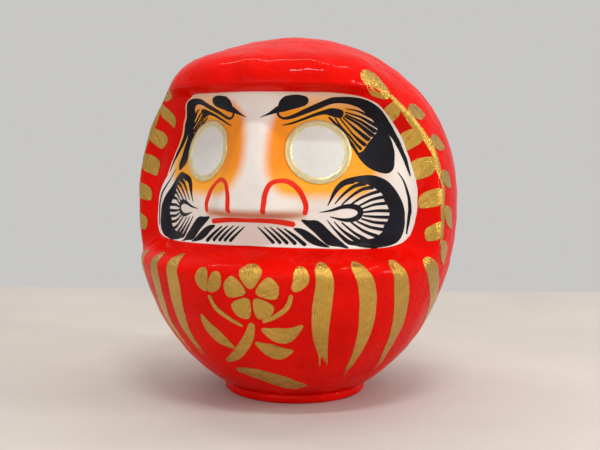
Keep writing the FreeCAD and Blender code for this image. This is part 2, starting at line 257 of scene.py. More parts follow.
# Blossom spray on the belly, drawn flat in mm round its own centre: (across, up, width)
SPRAY_AZIMUTH = 1.5
SPRAY_Z = 50.0
SPRAY_BRUSH = 1.17         # how much broader the brush is than drawn below
BLOSSOM_CENTRE = (4.0, 10.0)
PETAL = [(2.4, 1.9), (7.0, 7.2), (10.6, 8.5), (13.2, 5.2)]      # (distance from the centre, width)
SPRAY_STROKES = [
    [(-20.5, -25.5, 1.4), (-10.0, -20.5, 4.2), (-1.0, -12.0, 4.4), (3.0, -3.6, 2.4)],
    [(-17.0, -30.0, 2.0), (-2.0, -31.5, 5.6), (14.0, -35.0, 6.6), (25.0, -37.5, 4.6),
     (33.0, -37.5, 1.0)],
    [(-10.5, -17.5, 1.2), (-17.5, -13.0, 6.0), (-22.5, -8.5, 6.0), (-25.0, -1.5, 1.0)],
    [(2.5, -13.5, 1.2), (9.5, -17.0, 6.0), (16.0, -18.5, 5.6), (23.0, -17.0, 1.0)],
    [(7.0, -6.5, 1.2), (14.0, -9.0, 6.0), (20.5, -9.0, 6.0), (27.5, -4.0, 1.0)],
    [(-18.0, 10.0, 2.4), (-20.0, 15.0, 6.0), (-18.0, 20.5, 3.8)],
    [(-17.0, 10.0, 2.0), (-13.2, 14.0, 5.2), (-11.5, 19.5, 3.4)],
    [(-17.5, 8.5, 1.4), (-15.0, 2.5, 2.0), (-9.0, -2.0, 1.8), (-2.0, -5.5, 1.2)],
    [(22.5, 12.0, 2.2), (26.0, 17.0, 6.0), (25.0, 22.5, 3.6)],
    [(22.0, 10.5, 1.4), (20.0, 4.5, 2.0), (14.5, 0.0, 1.8), (8.0, -3.0, 1.2)],
]

# Leafy vine down the side of the hood: its stem as (azimuth, height, width)
VINE_STEM = [
    (57.5, 148.5, 2.2), (63.0, 141.5, 3.2), (68.0, 133.5, 3.6), (72.5, 124.5, 3.2),
    (74.0, 115.0, 3.6), (75.5, 106.0, 3.0), (75.0, 97.0, 3.4), (76.0, 88.5, 3.0),
    (75.0, 79.0, 2.0),
]
VINE_TOP_LEAF = [(43.5, 156.5, 2.6), (47.0, 155.5, 8.6), (52.0, 152.5, 10.2), (57.5, 148.0, 4.4)]
VINE_LEAVES = 10


# Stage: floor corners as (across the view, behind the doll), m, and the camera
FLOOR_CORNERS = [(-3.0, -2.0), (3.0, -2.0), (3.0, 0.34), (-3.0, 0.34)]
CAMERA_PLACE = (0.1516, -0.4402, 0.1210)
CAMERA_AIM = (0.0, 0.0, 0.08475)
CAMERA_PAN = -0.23         # degrees
CAMERA_ROLL = 0.6
SENSOR_WIDTH = 36.0
ROOM_COLOUR = (0.78, 0.77, 0.75, 1.0)
ROOM_STRENGTH = 0.74

# Lights: name, place, aim, (width, height) in m, power in W, coolness (1 is white)
LIGHTS = [
    ("key", (0.22, -0.42, 0.95), (0.0, 0.0, 0.09), (0.30, 0.05), 2.8, 1.0),
    ("front", (-0.10, -1.20, 0.38), (0.0, 0.0, 0.1), (1.0, 0.8), 2.8, 1.0),
    ("ceiling", (-0.05, 0.20, 1.15), (0.0, -0.03, 0.1), (1.5, 0.035), 5.4, 0.82),
    ("window", (0.90, 0.00, 0.42), (0.0, 0.0, 0.1), (0.08, 0.45), 2.8, 0.95),
]

length = partial(FloatProperty, unit="LENGTH")
paint = partial(FloatVectorProperty, subtype="COLOR", size=4)


class DARUMA_PG_sizes(bpy.types.PropertyGroup):
    """Sizes that a maker would change."""

    lump_height: length(
        name="Lump Height", description="Depth of the lumps of the moulded paper", default=0.0007)
    lump_size: length(
        name="Lump Size", description="Width of the lumps of the moulded paper", default=0.011)
    face_coat: length(
        name="Face Coat", description="Thickness of the white ground on the face", default=0.00035)
    ink: length(name="Ink", description="Thickness of a brush mark", default=0.00010)
    eye_dome: length(
        name="Eye Dome", description="How far the middle of an eye stands out", default=0.0016)
    mesh_step: length(
        name="Mesh Step", description="Distance between the mesh points of a painted area",
        default=0.0011)
    lens: FloatProperty(
        name="Lens", description="Focal length of the camera, in mm", default=54.0)


class DARUMA_PG_colours(bpy.types.PropertyGroup):
    """Colours of the paints, as linear RGBA."""

    red: paint(
        name="Vermilion", description="Gloss paint of the body",
        default=(0.82, 0.0035, 0.0003, 1.0))
    gold: paint(
        name="Gold", description="Metallic brush paint", default=(0.76, 0.45, 0.085, 1.0))
    face: paint(
        name="Face", description="Warm white ground of the face",
        default=(0.84, 0.76, 0.70, 1.0))
    orange: paint(
        name="Orange", description="Airbrushed blush round the eyes",
        default=(0.92, 0.37, 0.020, 1.0))
    # tan is airbrush with painted shade under the nose, and painted shade alone under the hood
    tan: paint(
        name="Tan", description="Airbrushed shade under the nose",
        default=(0.58, 0.25, 0.11, 1.0))
    ink: paint(
        name="Ink", description="Black of the brows and beard",
        default=(0.010, 0.0085, 0.010, 1.0))
    line_red: paint(
        name="Line Red", description="Red of the nostrils and mouth",
        default=(0.80, 0.022, 0.006, 1.0))
    eye: paint(
        name="Eye White", description="Blank eye", default=(0.74, 0.73, 0.69, 1.0))
    ring: paint(
        name="Ring Gold", description="Pale gold of the eye rings",
        default=(0.88, 0.74, 0.40, 1.0))
    paper: paint(
        name="Paper", description="Bare paper", default=(0.52, 0.40, 0.25, 1.0))
    floor: paint(
        name="Floor", description="Pale floor", default=(0.62, 0.60, 0.57, 1.0))


# ---- The rule for the body's shape ----

def blend(t):
    """Go smoothly from 0 to 1 as t goes from 0 to 1."""
    t = np.clip(t, 0.0, 1.0)
    return t ** 3 * (t * (6.0 * t - 15.0) + 10.0)


def ring_radius(z, inset):
    """Radius of the plain body of revolution, taken in by inset all round."""
    below = np.clip((BELLY_Z - z) / (LOWER_HALF_HEIGHT - inset), 0.0, 1.0)
    above = np.clip((z - BELLY_Z) / (HEIGHT - inset - BELLY_Z), 0.0, 1.0)
    crown = (1.0 - above ** CROWN_SQUARENESS) ** (1.0 / CROWN_FLATNESS)
    return (BELLY_RADIUS - inset) * np.where(z < BELLY_Z, np.sqrt(1.0 - below ** 2), crown)


def outline_radius(azimuth, z, inset):
    """Radius of the body before the face is let in. Azimuth 0 is the front."""
    front = np.cos(azimuth)
    share = blend((front - HOOD_FRONT_COSINE) / (1.0 - HOOD_FRONT_COSINE))
    above = np.maximum(z + inset - HOOD_Z, 0.0) / HOOD_SPREAD_ABOVE
    below = np.maximum(HOOD_Z - z, 0.0) / HOOD_SPREAD_BELOW
    hood = HOOD_BULGE * share * np.exp(-above ** 2 - below ** 2)
    # the bulge dies away on the crown, so that the rows close in one point
    near_crown = blend((HEIGHT - inset - z) / 3.0)
    return ring_radius(z, inset) * (1.0 + FORWARD_SET * front) + hood * near_crown


def nose_height(azimuth, z):
    """How far the nose stands out of the face sheet."""
    down = np.clip((NOSE_TOP_Z - z) / (NOSE_TOP_Z - NOSE_TIP_Z), 0.0, 1.0)
    half_width = NOSE_TOP_HALF_WIDTH + (NOSE_TIP_HALF_WIDTH - NOSE_TOP_HALF_WIDTH) * down
    across = np.abs(CHEEK_RADIUS * np.sin(azimuth)) / half_width
    ridge = 0.25 * blend(4.0 * down) + 0.75 * down
    underside = blend((z - NOSE_TIP_Z + NOSE_UNDERSIDE) / NOSE_UNDERSIDE)
    return NOSE_DEPTH * ridge * underside * blend(1.25 * (1.0 - across))


def side_angle(z):
    """Azimuth of the recess's side edge at one height."""
    up = np.clip((z - TOP_CORNER_Z) / (FACE_TOP_Z - TOP_CORNER_Z), 0.0, 1.0)
    return FACE_SIDE_ANGLE - TOP_CORNER_TURN * up ** 2


def face_radius(azimuth, z, inset):
    """Radius of the face sheet: cheeks, eye sockets, temples and nose."""
    angle = np.abs(np.degrees(azimuth))
    socket = blend((z - SOCKET_START_Z) / (SOCKET_FULL_Z - SOCKET_START_Z))
    socket = socket * (1.0 - BROW_FADE * blend((z - BROW_Z) / (FACE_TOP_Z - BROW_Z)))
    socket = socket * np.exp(-((angle - SOCKET_ANGLE) / SOCKET_SPREAD) ** 2)
    temple_end = side_angle(z) + TEMPLE_RUN_OUT
    temple = blend((angle - temple_end + TEMPLE_ANGLE) / TEMPLE_ANGLE)
    sheet = CHEEK_RADIUS - inset - SOCKET_DEPTH * socket + TEMPLE_RISE * temple
    radius = sheet + nose_height(azimuth, z)
    flat_radius, share = eye_flat(azimuth, z)
    return radius * (1.0 - share) + (flat_radius - inset) * share


def eye_look(sign=1.0):
    """Direction in which one eye looks: sign is 1 on the doll's left side and -1 on its right."""
    turn, lean = math.radians(EYE_AZIMUTH) * sign, math.radians(EYE_ELEVATION)
    return math.sin(turn) * math.cos(lean), -math.cos(turn) * math.cos(lean), math.sin(lean)


def eye_flat(azimuth, z):
    """Radius of the flat area that each eye is painted on, and how far it takes over."""
    turn, lean = math.radians(EYE_AZIMUTH), math.radians(EYE_ELEVATION)
    angle = np.minimum(np.abs(azimuth), math.pi / 2.0)
    x, y, up = EYE_CENTRE
    look = eye_look()
    distance = x * look[0] + y * look[1] + up * look[2]
    radius = (distance - z * look[2]) / (math.cos(lean) * np.cos(angle - turn))
    across, forward = radius * np.sin(angle) - x, radius * np.cos(angle) + y
    away = np.sqrt(across ** 2 + forward ** 2 + (z - up) ** 2)
    return radius, 1.0 - blend((away - EYE_FLAT_RADIUS) / EYE_FLAT_EDGE)


def face_share(azimuth, z, inset):
    """1 inside the recess, 0 outside it, with the hood's underside, ledge and walls between."""
    angle = np.abs(np.degrees(azimuth)) - math.degrees(inset / CHEEK_RADIUS)
    above = np.maximum((z - inset - FACE_TOP_Z + FACE_TOP_BLEND) / (2.0 * FACE_TOP_BLEND), 0.0)
    beside = np.maximum((angle - side_angle(z)) / SIDE_WALL_ANGLE, 0.0)
    up = np.clip((z + inset - FACE_BOTTOM_Z + CHEST_LEDGE) / CHEST_LEDGE, 0.0, 1.0)
    bottom = np.sin(math.pi / 2.0 * up ** CHEST_ROUNDNESS) ** 2
    return bottom * (1.0 - blend(np.hypot(above, beside)))


def body_point(azimuth, z, inset=0.0):
    """Points of the body in metres, for arrays of azimuths in radians and heights in mm."""
    share = face_share(azimuth, z, inset)
    outside = outline_radius(azimuth, z, inset)
    radius = outside * (1.0 - share) + face_radius(azimuth, z, inset) * share
    return np.stack([radius * np.sin(azimuth), -radius * np.cos(azimuth), z], -1) * MM


def body_outward(azimuth, z):
    """Outward direction of the body at arrays of azimuths and heights."""
    step = 0.05
    turn = math.radians(0.2)
    around = body_point(azimuth + turn, z) - body_point(azimuth - turn, z)
    upward = body_point(azimuth, z + step) - body_point(azimuth, z - step)
    outward = np.cross(around, upward)
    return outward / np.maximum(np.linalg.norm(outward, axis=-1, keepdims=True), 1e-12)


# ---- Flat drawing of brush marks, in mm ----

def flat(points, drum):
    """Turn (azimuth, height, ...) into (distance round the drum, height, ...), in mm."""
    return [(math.radians(p[0]) * drum, *p[1:]) for p in points]


def spline(points, step, closed=False):
    """Points of a smooth curve through all the given ones, about step apart."""
    count = len(points)
    rows = np.array(points, float)
    found = []
    for i in range(count if closed else count - 1):
        if closed:
            before, start, end, after = (rows[(i + k) % count] for k in (-1, 0, 1, 2))
        else:
            before, start, end, after = (rows[min(max(i + k, 0), count - 1)] for k in (-1, 0, 1, 2))
        parts = max(2, int(math.ceil(np.linalg.norm((end - start)[:2]) / step)))
        for part in range(parts):
            t = part / parts
            found.append(0.5 * (2.0 * start + (end - before) * t
                                + (2.0 * before - 5.0 * start + 4.0 * end - after) * t ** 2
                                + (3.0 * start - before - 3.0 * end + after) * t ** 3))
    if not closed:
        found.append(rows[-1])
    return np.array(found)


def brush_path(points, step):
    """Middle line of a stroke with its side direction, half width and length so far."""
    path = spline(points, step)
    run = np.concatenate([[0.0], np.cumsum(np.linalg.norm(np.diff(path[:, :2], axis=0), axis=1))])
    heading = np.gradient(path[:, :2], axis=0)
    heading /= np.maximum(np.linalg.norm(heading, axis=1, keepdims=True), 1e-9)
    side = np.stack([-heading[:, 1], heading[:, 0]], 1)
    half = np.maximum(path[:, 2], 0.05) / 2.0
    # the brush leaves a round end: within one half width of a tip the mark narrows
    for tip_run, tip_half in ((run, half[0]), (run[-1] - run, half[-1])):
        inside = np.clip(tip_run / tip_half, 0.0, 1.0)
        half = half * np.sqrt(np.clip(1.0 - (1.0 - inside) ** 2, 0.0, 1.0))
    return path[:, :2], side, half, run


def stroke_outline(points, drum, step=0.5):
    """Closed outline of a stroke, anticlockwise."""
    middle, side, half, _ = brush_path(flat(points, drum), step)
    left = middle + side * half[:, None]
    right = middle - side * half[:, None]
    return [tuple(p) for p in np.concatenate([right, left[::-1][1:-1]])]


def patch_outline(points, drum, step=0.8):
    """Closed outline of a filled patch."""
    return [tuple(p) for p in spline(flat(points, drum), step, closed=True)]


def mirrored(outline):
    """The same outline on the doll's right side, where the painter kept nearer to the eye."""
    heights, shares = zip(*NARROWING)
    return [(max(x - NEAR_PART, 0.0) * float(np.interp(z, heights, shares)) - x, z)
            for x, z in reversed(outline)]


def anticlockwise(outline):
    """The same closed outline, turned round if it runs clockwise."""
    area = sum(a[0] * b[1] - b[0] * a[1] for a, b in zip(outline, outline[1:] + outline[:1]))
    return outline if area > 0 else outline[::-1]


def filled(outlines, step):
    """One flat mesh that covers all the outlines, with no overlaps: (points, triangles)."""
    points = []
    rings = []
    for outline in outlines:
        outline = anticlockwise(outline)
        rings.append(list(range(len(points), len(points) + len(outline))))
        points += [Vector(p) for p in outline]
    low = [min(p[k] for p in points) for k in (0, 1)]
    high = [max(p[k] for p in points) for k in (0, 1)]
    rows = int((high[1] - low[1]) / step) + 1
    columns = int((high[0] - low[0]) / step) + 1
    for row in range(rows):
        for column in range(columns):
            offset = 0.5 * (row % 2)
            points.append(Vector((low[0] + (column + offset) * step, low[1] + (row + 0.37) * step)))
    found = geometry.delaunay_2d_cdt(points, [], rings, 0, 1e-4)
    triangles = [face for face, origin in zip(found[2], found[5]) if origin]
    used = sorted({i for face in triangles for i in face})
    place = {old: new for new, old in enumerate(used)}
    return [tuple(found[0][i]) for i in used], [tuple(place[i] for i in face) for face in triangles]


def ribbon(points, drum, step, lanes=6):
    """Flat grid along one stroke: (points, quads, brush coordinates in m)."""
    middle, side, half, run = brush_path(flat(points, drum), step)
    found = []
    brush = []
    for k in range(len(middle)):
        for lane in range(lanes + 1):
            across = (2.0 * lane / lanes - 1.0) * half[k]
            found.append(tuple(middle[k] - side[k] * across))
            brush.append((across * MM, run[k] * MM))
    width = lanes + 1
    quads = [(a, a + 1, a + width + 1, a + width)
             for k in range(len(middle) - 1) for a in range(k * width, k * width + lanes)]
    return found, quads, brush


# ---- Objects and node trees ----

def new_object(name, points, faces):
    """A new mesh object at the origin, with smooth faces."""
    mesh = bpy.data.meshes.new(name)
    mesh.from_pydata([tuple(p) for p in points], [], [tuple(f) for f in faces])
    mesh.validate()
    mesh.shade_smooth()
    piece = bpy.data.objects.new(name, mesh)
    bpy.context.scene.collection.objects.link(piece)
    return piece


def set_attribute(piece, name, kind, values):
    """Store one value per vertex on a mesh."""
    field = "vector" if kind == "FLOAT_VECTOR" else "value"
    attribute = piece.data.attributes.new(name, kind, "POINT")
    attribute.data.foreach_set(field, np.asarray(values, dtype=np.float32).ravel())


def new_tree(name, kind, inputs, outputs):
    """A node group with named sockets. Each one is (name, socket type, default)."""
    tree = bpy.data.node_groups.new(name, kind)
    for direction, sockets in (("INPUT", inputs), ("OUTPUT", outputs)):
        for title, kind_of_socket, default in sockets:
            socket = tree.interface.new_socket(
                name=title, in_out=direction, socket_type=kind_of_socket)
            if default is not None:
                socket.default_value = default
    return tree, tree.nodes.new("NodeGroupInput"), tree.nodes.new("NodeGroupOutput")


def add_node(tree, kind, inputs=None, **settings):
    """Add a node. inputs maps a socket's name or number to a value or to an output socket."""
    made = tree.nodes.new(kind)
    for key, value in settings.items():
        setattr(made, key, value)
    for key, value in (inputs or {}).items():
        if isinstance(value, bpy.types.NodeSocket):
            tree.links.new(value, made.inputs[key])
        else:
            made.inputs[key].default_value = value
    return made


def maths(tree, operation, *values):
    """Output of a Math node."""
    return add_node(tree, "ShaderNodeMath", dict(enumerate(values)), operation=operation).outputs[0]


def vector_maths(tree, operation, inputs):
    """A Vector Math node."""
    return add_node(tree, "ShaderNodeVectorMath", inputs, operation=operation)


def noise(tree, vector, scale, detail, roughness=0.5, seed=None):
    """Output of a Noise Texture node, in 4D if there is a seed."""
    sockets = {"Vector": vector, "Scale": scale, "Detail": detail, "Roughness": roughness}
    if seed is not None:
        sockets["W"] = seed
    size = "3D" if seed is None else "4D"
    return add_node(tree, "ShaderNodeTexNoise", sockets, noise_dimensions=size).outputs[0]


def stored(tree, name, kind):
    """Output of a Named Attribute node."""
    made = add_node(tree, "GeometryNodeInputNamedAttribute", {"Name": name}, data_type=kind)
    return made.outputs[0]


def ranged(tree, value, low, high, to_low, to_high):
    """Output of a clamped Map Range node."""
    sockets = {"Value": value, "From Min": low, "From Max": high,
               "To Min": to_low, "To Max": to_high}
    return add_node(tree, "ShaderNodeMapRange", sockets).outputs["Result"]


def apply_tree(piece, tree, values):
    """Run a geometry tree on a piece and keep the result as its plain mesh."""
    modifier = piece.modifiers.new(tree.name, "NODES")
    modifier.node_group = tree
    sockets = {s.name: s.identifier for s in tree.interface.items_tree if s.in_out == "INPUT"}
    for name, value in values.items():
        modifier[sockets[name]] = value
    graph = bpy.context.evaluated_depsgraph_get()
    graph.update()
    result = bpy.data.meshes.new_from_object(piece.evaluated_get(graph))
    piece.modifiers.clear()
    old = piece.data
    piece.data = result
    result.name = piece.name
    bpy.data.meshes.remove(old)
    piece.data.set_sharp_from_angle(angle=math.radians(50.0))


def lump_tree():
    """Geometry tree that gives a smooth mould the soft lumps of pasted paper."""
    tree, given, result = new_tree(
        "Paper Lumps", "GeometryNodeTree",
        [("Geometry", "NodeSocketGeometry", None), ("Lump Height", "NodeSocketFloat", 0.001),
         ("Lump Size", "NodeSocketFloat", 0.01), ("Seed", "NodeSocketFloat", 0.0),
         ("Material", "NodeSocketMaterial", None)],
        [("Geometry", "NodeSocketGeometry", None)])
    place = add_node(tree, "GeometryNodeInputPosition").outputs[0]
    frequency = maths(tree, "DIVIDE", 1.0, given.outputs["Lump Size"])
    seed = given.outputs["Seed"]
    broad = noise(tree, place, frequency, 2.0, 0.45, seed)
    fine = noise(tree, place, maths(tree, "MULTIPLY", frequency, 3.1), 1.0, 0.5, seed)
    mixed = maths(tree, "MULTIPLY_ADD", fine, 0.25, broad)
    lifted = maths(tree, "SUBTRACT", mixed, 0.625)
    amount = maths(tree, "MULTIPLY", maths(tree, "MULTIPLY", lifted, given.outputs["Lump Height"]),
                   stored(tree, "lump_share", "FLOAT"))
    offset = vector_maths(tree, "SCALE", {0: stored(tree, "outward", "FLOAT_VECTOR"),
                                          "Scale": maths(tree, "MULTIPLY", amount, 2.0)})
    moved = add_node(tree, "GeometryNodeSetPosition",
                     {"Geometry": given.outputs["Geometry"], "Offset": offset.outputs[0]})
    finish_tree(tree, moved.outputs[0], given, result)
    return tree


def finish_tree(tree, shape, given, result):
    """End a geometry tree with Realize Instances and Set Material."""
    real = add_node(tree, "GeometryNodeRealizeInstances", {"Geometry": shape})
    painted = add_node(tree, "GeometryNodeSetMaterial",
                       {"Geometry": real.outputs[0], "Material": given.outputs["Material"]})
    tree.links.new(painted.outputs[0], result.inputs["Geometry"])


def paint_tree():
    """Geometry tree that throws a flat drawing at the body and gives it a closed thickness."""
    tree, given, result = new_tree(
        "Lay Paint", "GeometryNodeTree",
        [("Geometry", "NodeSocketGeometry", None), ("Body", "NodeSocketObject", None),
         ("Sink", "NodeSocketFloat", 0.0001), ("Material", "NodeSocketMaterial", None)],
        [("Geometry", "NodeSocketGeometry", None)])
    body = add_node(tree, "GeometryNodeObjectInfo", {"Object": given.outputs["Body"]})
    ray = add_node(tree, "GeometryNodeRaycast",
                   {"Target Geometry": body.outputs["Geometry"], "Ray Length": THROW_LENGTH,
                    "Attribute": stored(tree, "outward", "FLOAT_VECTOR"),
                    "Ray Direction": stored(tree, "throw", "FLOAT_VECTOR")},
                   data_type="FLOAT_VECTOR")
    kept = add_node(tree, "GeometryNodeCaptureAttribute", {"Geometry": given.outputs["Geometry"]})
    for name, source in (("Hit", "Hit Position"), ("Out", "Attribute")):
        kept.capture_items.new("VECTOR", name)
        tree.links.new(ray.outputs[source], kept.inputs[name])

    def off_surface(distance):
        """Places at a distance from where the drawing hits the body."""
        step = vector_maths(tree, "SCALE", {0: kept.outputs["Out"], "Scale": distance})
        return vector_maths(tree, "ADD", {0: kept.outputs["Hit"], 1: step.outputs[0]}).outputs[0]

    base = add_node(tree, "GeometryNodeSetPosition",
                    {"Geometry": kept.outputs["Geometry"],
                     "Position": off_surface(maths(tree, "MULTIPLY", given.outputs["Sink"], -1.0))})
    raised = add_node(tree, "GeometryNodeExtrudeMesh",
                      {"Mesh": base.outputs[0], "Offset Scale": 0.0})
    raised.inputs["Individual"].default_value = False
    top = add_node(tree, "GeometryNodeSetPosition",
                   {"Geometry": raised.outputs["Mesh"], "Selection": raised.outputs["Top"],
                    "Position": off_surface(stored(tree, "lift", "FLOAT"))})
    under = add_node(tree, "GeometryNodeFlipFaces", {"Mesh": base.outputs[0]})
    both = add_node(tree, "GeometryNodeJoinGeometry")
    tree.links.new(top.outputs[0], both.inputs[0])
    tree.links.new(under.outputs[0], both.inputs[0])
    closed = add_node(tree, "GeometryNodeMergeByDistance",
                      {"Geometry": both.outputs[0], "Distance": 2e-6})
    finish_tree(tree, closed.outputs[0], given, result)
    return tree


def thrown(name, points, faces, drum, lift):
    """Wrap a flat drawing on the throwing drum, ready to be laid on the body."""
    spots = np.array(points, float)
    angle = spots[:, 0] / drum
    inward = np.stack([-np.sin(angle), np.cos(angle), np.zeros(len(angle))], 1)
    start = -inward * THROW_RADIUS * MM
    start[:, 2] = spots[:, 1] * MM
    piece = new_object(name, start, faces)
    set_attribute(piece, "throw", "FLOAT_VECTOR", inward)
    set_attribute(piece, "lift", "FLOAT", np.broadcast_to(lift, len(spots)))
    return piece


def set_brush(piece, brush):
    """Store a stroke's own coordinates as its UV map."""
    layer = piece.data.uv_layers.new(name="brush")
    for loop in piece.data.loops:
        layer.data[loop.index].uv = brush[loop.vertex_index]


def lay(piece, material, sink=0.00012):
    """Lay a thrown drawing on the body."""
    apply_tree(piece, bpy.data.node_groups["Lay Paint"],
               {"Body": bpy.data.objects["throwing_target"], "Sink": sink, "Material": material})


def declare(piece, slot, *nodes):
    """The piece rides on the doll and hides the CAD nodes that it stands for; slot is not used."""
    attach(piece, "root")
    if nodes:
        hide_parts(*nodes)


# ---- Shared surface effects ----

def paper_group():
    """Shader group: unevenness of painted paper, as a height and a colour mask."""
    tree, given, result = new_tree(
        "Paper Unevenness", "ShaderNodeTree",
        [("Vector", "NodeSocketVector", None), ("Scale", "NodeSocketFloat", 250.0),
         ("Grain", "NodeSocketFloat", 0.3)],
        [("Height", "NodeSocketFloat", None), ("Mask", "NodeSocketFloat", None)])
    vector = given.outputs["Vector"]
    scale = given.outputs["Scale"]
    soft = noise(tree, vector, scale, 3.0)
    grain = noise(tree, vector, maths(tree, "MULTIPLY", scale, 7.0), 2.0, 0.6)
    wide = noise(tree, vector, maths(tree, "MULTIPLY", scale, 0.14), 4.0, 0.6)
    height = maths(tree, "MULTIPLY_ADD", grain, given.outputs["Grain"], soft)
    tree.links.new(height, result.inputs["Height"])
    tree.links.new(ranged(tree, wide, 0.35, 0.68, 0.0, 1.0), result.inputs["Mask"])
    return tree


def streak_group():
    """Shader group: streaks that a brush leaves along its stroke, dry towards the end."""
    tree, given, result = new_tree(
        "Brush Streaks", "ShaderNodeTree",
        [("Vector", "NodeSocketVector", None), ("Across", "NodeSocketFloat", 1500.0),
         ("Along", "NodeSocketFloat", 60.0)],
        [("Height", "NodeSocketFloat", None), ("Mask", "NodeSocketFloat", None)])
    parts = add_node(tree, "ShaderNodeSeparateXYZ", {0: given.outputs["Vector"]})
    across = maths(tree, "MULTIPLY", parts.outputs[0], given.outputs["Across"])
    along = maths(tree, "MULTIPLY", parts.outputs[1], given.outputs["Along"])
    point = add_node(tree, "ShaderNodeCombineXYZ", {0: across, 1: along})
    lines = noise(tree, point.outputs[0], 1.0, 3.0, 0.65)
    pools = noise(tree, given.outputs["Vector"], 320.0, 2.0)
    tree.links.new(maths(tree, "MULTIPLY_ADD", pools, 0.5, lines), result.inputs["Height"])
    tree.links.new(ranged(tree, lines, 0.36, 0.66, 0.0, 1.0), result.inputs["Mask"])
    return tree


class Finish:
    """A material under construction: its tree, its Principled BSDF and small helpers."""

    def __init__(self, name, **values):
        self.material = bpy.data.materials.new(name)
        self.material.use_nodes = True
        self.tree = self.material.node_tree
        self.shader = next(n for n in self.tree.nodes if n.type == "BSDF_PRINCIPLED")
        for key, value in values.items():
            self.shader.inputs[key.replace("_", " ")].default_value = value

    def coordinates(self, uv_name=None):
        if uv_name:
            return add_node(self.tree, "ShaderNodeUVMap", uv_map=uv_name).outputs[0]
        return add_node(self.tree, "ShaderNodeTexCoord").outputs["Object"]

    def group(self, name, vector, **values):
        made = add_node(self.tree, "ShaderNodeGroup", node_tree=bpy.data.node_groups[name])
        self.tree.links.new(vector, made.inputs["Vector"])
        for key, value in values.items():
            made.inputs[key].default_value = value
        return made.outputs["Height"], made.outputs["Mask"]

    def mix(self, share, first, second):
        """Colour between two colours or sockets."""
        made = add_node(self.tree, "ShaderNodeMix", data_type="RGBA")
        colours = [s for s in made.inputs if s.type == "RGBA"]
        for socket, value in zip((made.inputs["Factor"], *colours), (share, first, second)):
            if isinstance(value, bpy.types.NodeSocket):
                self.tree.links.new(value, socket)
            else:
                socket.default_value = value
        return next(s for s in made.outputs if s.type == "RGBA")

    def attribute(self, name):
        return add_node(self.tree, "ShaderNodeAttribute", attribute_name=name).outputs["Fac"]

    def feed(self, socket, value):
        self.tree.links.new(value, self.shader.inputs[socket])

    def bump(self, height, distance, strength=1.0):
        made = add_node(self.tree, "ShaderNodeBump",
                        {"Height": height, "Distance": distance, "Strength": strength})
        self.tree.links.new(made.outputs[0], self.shader.inputs["Normal"])


DEEP_ORANGE = (0.88, 0.26, 0.008, 1.0)
# A blue painted into the ink's colour in patches: painted sheen.
PAINTED_SHEEN_BLUE = (0.013, 0.013, 0.022, 1.0)
WORN_GOLD = (0.42, 0.10, 0.02, 1.0)


def shade(colour, factor):
    """A darker or lighter version of a colour."""
    return (colour[0] * factor, colour[1] * factor, colour[2] * factor, 1.0)


def vermilion(colours):
    """Glossy red paint over lumpy paper."""
    done = Finish("Vermilion Gloss", Coat_Weight=0.13, Coat_Roughness=0.04, Specular_IOR_Level=0.01)
    place = done.coordinates()
    height, mask = done.group("Paper Unevenness", place, Scale=330.0, Grain=0.25)
    done.feed("Base Color", done.mix(mask, shade(colours.red, 0.8), colours.red))
    done.feed("Roughness", ranged(done.tree, height, 0.4, 0.9, 0.18, 0.3))
    done.bump(height, 0.0006)
    return done.material


def face_ground(colours):
    """Warm white ground with the airbrushed orange, and a tan that is airbrush with painted shade
    under the nose and painted shade alone under the hood.
    """
    done = Finish("Face Ground", Specular_IOR_Level=0.2)
    place = done.coordinates()
    height, mask = done.group("Paper Unevenness", place, Scale=520.0, Grain=0.5)
    ground = done.mix(mask, shade(colours.face, 0.95), colours.face)
    deep = done.mix(done.attribute("deep_orange"), colours.orange, DEEP_ORANGE)
    speckle = ranged(done.tree, height, 0.3, 1.0, -0.06, 0.06)
    blush = maths(done.tree, "ADD", done.attribute("orange"), speckle)
    blushed = done.mix(ranged(done.tree, blush, 0.04, 0.96, 0.0, 1.0), ground, deep)
    # tan: airbrush with painted shade under the nose, painted shade alone under the hood
    done.feed("Base Color", done.mix(done.attribute("tan"), blushed, colours.tan))
    done.feed("Roughness", ranged(done.tree, height, 0.4, 1.0, 0.5, 0.62))
    done.bump(height, 0.0001)
    return done.material


def brush_black(colours):
    """Black ink with a faint painted sheen: in patches its colour turns blue, and its roughness
    comes and goes.
    """
    done = Finish("Brush Black", Specular_IOR_Level=0.1)
    place = done.coordinates()
    height, mask = done.group("Paper Unevenness", place, Scale=420.0, Grain=0.4)
    # the blue patches in the colour are a painted sheen
    done.feed("Base Color", done.mix(mask, colours.ink, PAINTED_SHEEN_BLUE))
    done.feed("Roughness", ranged(done.tree, mask, 0.0, 1.0, 0.32, 0.5))
    done.bump(height, 0.00015)
    return done.material


def gold_brush(colours):
    """Metallic gold paint with brush streaks; the red shows through where it is dry."""
    done = Finish("Gold Brush", Specular_IOR_Level=0.5)
    brush = done.coordinates("brush")
    height, mask = done.group("Brush Streaks", brush)
    wear = ranged(done.tree, mask, 0.0, 0.12, 0.5, 0.0)
    crinkle, pools = done.group("Paper Unevenness", done.coordinates(), Scale=250.0, Grain=0.2)
    gold = done.mix(mask, shade(colours.gold, 0.8), colours.gold)
    gold = done.mix(pools, shade(colours.gold, 0.68), gold)
    done.feed("Base Color", done.mix(wear, gold, WORN_GOLD))
    done.feed("Metallic", ranged(done.tree, mask, 0.0, 1.0, 0.8, 0.98))
    done.feed("Roughness", ranged(done.tree, crinkle, 0.4, 0.9, 0.2, 0.4))
    done.bump(maths(done.tree, "MULTIPLY_ADD", crinkle, 2.2, height), 0.0004)
    return done.material


def ring_gold(colours):
    """Pale gold paint of the eye rings, thick and uneven."""
    done = Finish("Ring Gold", Specular_IOR_Level=0.4, Metallic=0.6)
    height, mask = done.group("Brush Streaks", done.coordinates("brush"), Across=700.0, Along=160.0)
    done.feed("Base Color", done.mix(mask, shade(colours.ring, 0.72), colours.ring))
    done.feed("Roughness", ranged(done.tree, mask, 0.0, 1.0, 0.42, 0.3))
    done.bump(height, 0.00025)
    return done.material


